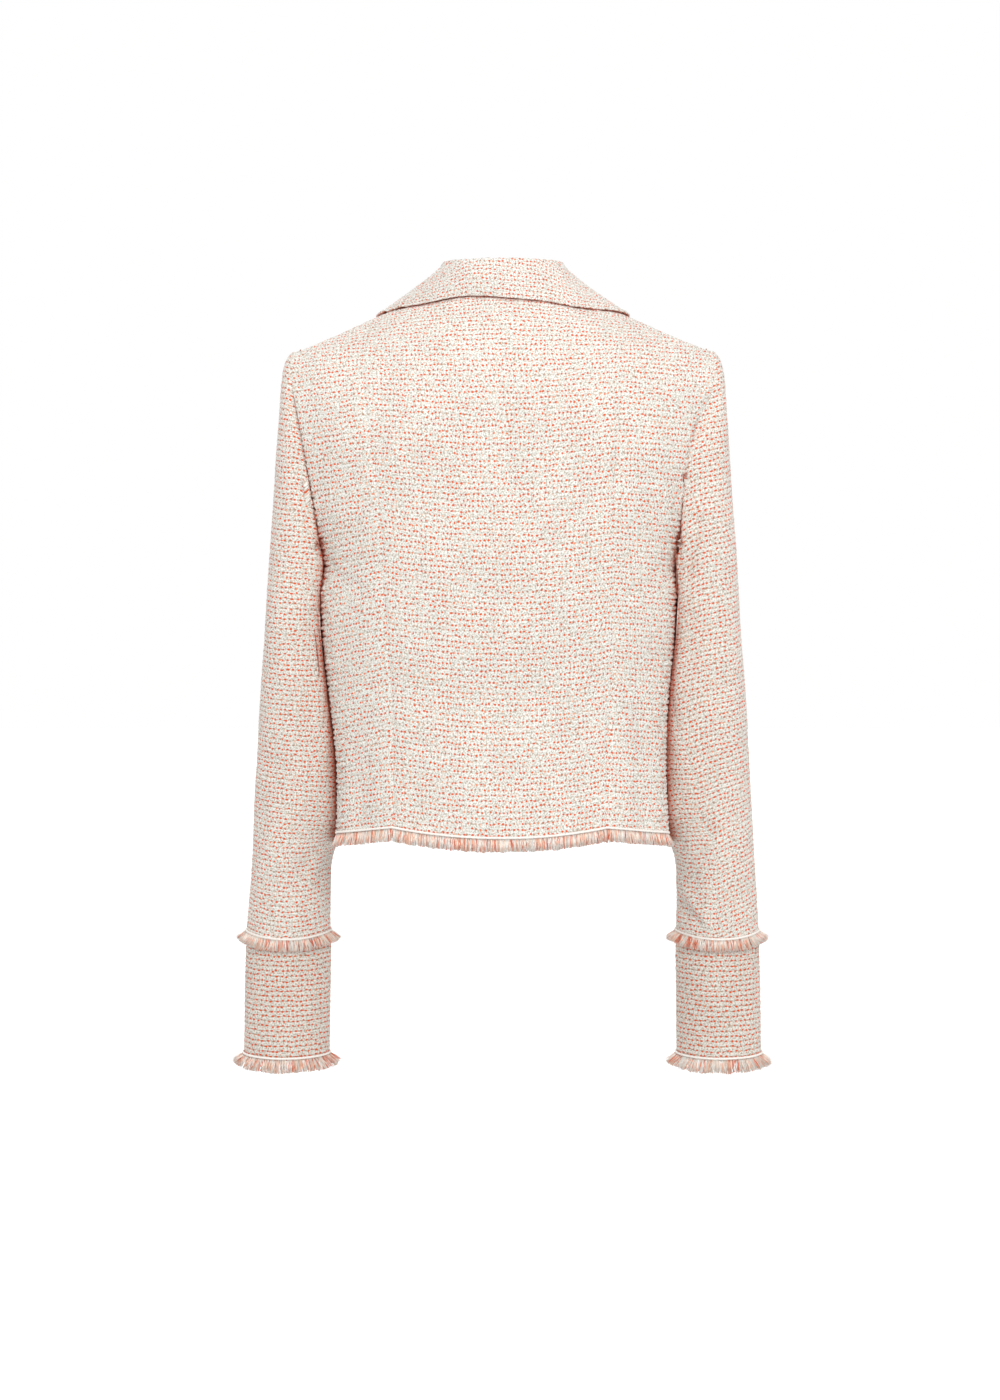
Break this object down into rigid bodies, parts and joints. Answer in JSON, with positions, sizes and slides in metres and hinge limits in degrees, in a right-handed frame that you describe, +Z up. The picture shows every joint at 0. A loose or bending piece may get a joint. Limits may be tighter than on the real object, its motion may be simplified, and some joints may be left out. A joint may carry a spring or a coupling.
{
  "type": "cropped tweed jacket",
  "caption": "Cropped tweed jacket with turned-down collar, notched lapels, long sleeves over separate lower cuffs and fringed edges, hollow and held open as if worn.",
  "frame": {"origin": "centre plane, level with the points where the shoulder seams meet the neck; the wearer's shoulders carry the jacket there", "axes": "+Z up, the fronts face -Y and the back faces +Y, +X is the wearer's left"},
  "size_m": [0.4882, 0.2258, 0.7332],
  "materials": {
    "body_tweed": "matt loose boucle weave, cream ribs with salmon and coral flecks",
    "sleeve_tweed": "the same tweed, rows level across the sleeve",
    "collar_tweed": "the same tweed, a little paler, with a closer row",
    "braid": "matt cream twisted cord",
    "fringe": "loose cut yarns in cream and salmon",
    "button": "satin resin"
  },
  "bodies": {
    "root": {"back_centre": "body_tweed", "back_side_l": "body_tweed", "back_side_r": "body_tweed", "front_l": "body_tweed", "front_r": "body_tweed", "lapel_l": "collar_tweed", "lapel_r": "collar_tweed", "collar": "collar_tweed", "top_sleeve_l": "sleeve_tweed", "top_sleeve_r": "sleeve_tweed", "top_sleeve_lower_l": "sleeve_tweed", "top_sleeve_lower_r": "sleeve_tweed", "under_sleeve_l": "sleeve_tweed", "under_sleeve_r": "sleeve_tweed", "cuff_l": "sleeve_tweed", "cuff_r": "sleeve_tweed", "hem_braid_back": "braid", "hem_braid_l": "braid", "hem_braid_r": "braid", "sleeve_braid_l": "braid", "sleeve_braid_r": "braid", "cuff_braid_l": "braid", "cuff_braid_r": "braid", "hem_fringe_back": "fringe", "hem_fringe_l": "fringe", "hem_fringe_r": "fringe", "sleeve_fringe_l": "fringe", "sleeve_fringe_r": "fringe", "cuff_fringe_l": "fringe", "cuff_fringe_r": "fringe", "button_1": "button", "button_2": "button", "button_3": "button"}
  },
  "joints": []
}
